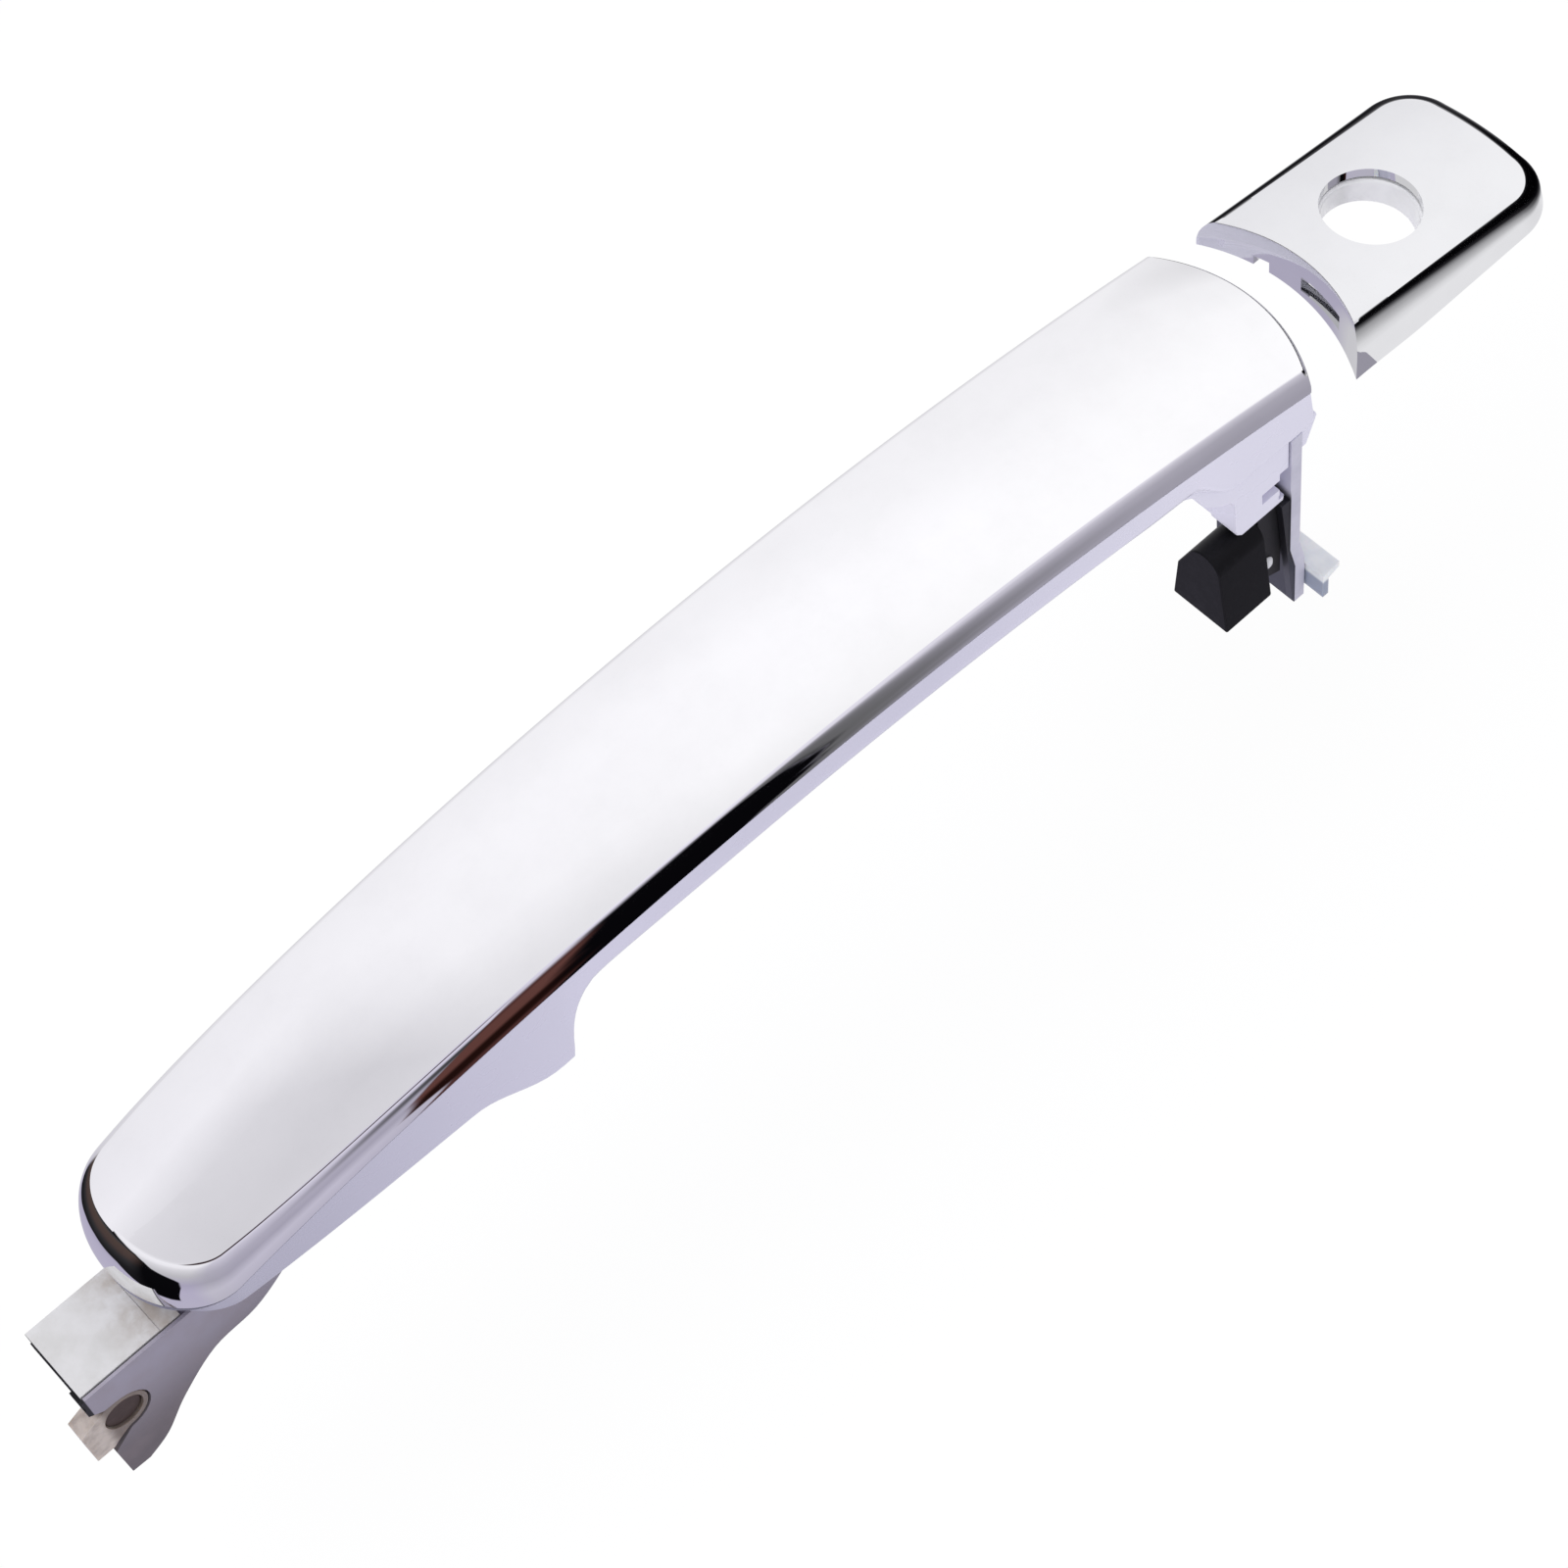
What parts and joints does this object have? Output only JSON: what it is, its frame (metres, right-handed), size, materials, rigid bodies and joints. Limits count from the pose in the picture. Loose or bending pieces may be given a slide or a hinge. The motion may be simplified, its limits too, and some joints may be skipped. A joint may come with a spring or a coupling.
{
  "type": "car door handle",
  "caption": "Outside pull handle for a car door: arched chrome grip on a front hinge arm, rear pull leg with rubber bumper, and a separate key cap.",
  "frame": {"origin": "centre of the front tongue's exposed top face, on the handle's centre line", "axes": "+X from the hinge end to the lock end, +Y across the handle away from the side with the hinge cheek, +Z outwards from the door"},
  "size_m": [0.3005, 0.038, 0.0756],
  "materials": {
    "chrome": "mirror-bright plating on the moulded cover",
    "chrome_inner": "bright plating, a little softer than the cover",
    "cast_arm": "die-cast, satin",
    "cast_leg": "pale die-cast, satin",
    "tongue_grey": "light grey, matt, lightly stained",
    "nylon_brown": "brownish translucent nylon",
    "nylon_white": "whitish translucent nylon",
    "pale_plastic": "pale grey, satin",
    "black_plastic": "black, satin",
    "black_rubber": "black, soft sheen",
    "steel": "zinc-plated, satin",
    "dark_steel": "oiled dark steel"
  },
  "bodies": {
    "door_side": {"hinge_pin": "dark_steel"},
    "grip": {"grip_outer_cover": "chrome", "grip_inner_half": "chrome_inner", "core_bar": "black_plastic", "front_hinge_arm": "cast_arm", "front_tongue": "tongue_grey", "hinge_bush": "nylon_brown", "rear_leg": "cast_leg", "hook_foot": "nylon_white", "rubber_bumper": "black_rubber", "bumper_holder": "black_plastic", "leg_rivet": "pale_plastic", "arm_screw_front": "steel", "arm_screw_rear": "steel", "leg_screw_near": "steel", "leg_screw_far": "steel", "cover_screw_front": "steel", "cover_screw_rear": "steel"},
    "cap": {"cap_shell": "chrome", "cap_inner_frame": "pale_plastic", "cap_key_collar": "chrome", "cap_screw_near": "steel", "cap_screw_far": "steel"}
  },
  "joints": [
    {"name": "grip_pull", "type": "hinge", "parent": "door_side", "child": "grip", "pos_m": [-0.0035, 0, -0.0112], "axis": [0, -1, 0], "range_deg": [0, 10]},
    {"name": "cap_slide", "type": "slide", "parent": "door_side", "child": "cap", "axis": [1, 0, 0], "range_m": [-0.007, 0]}
  ]
}
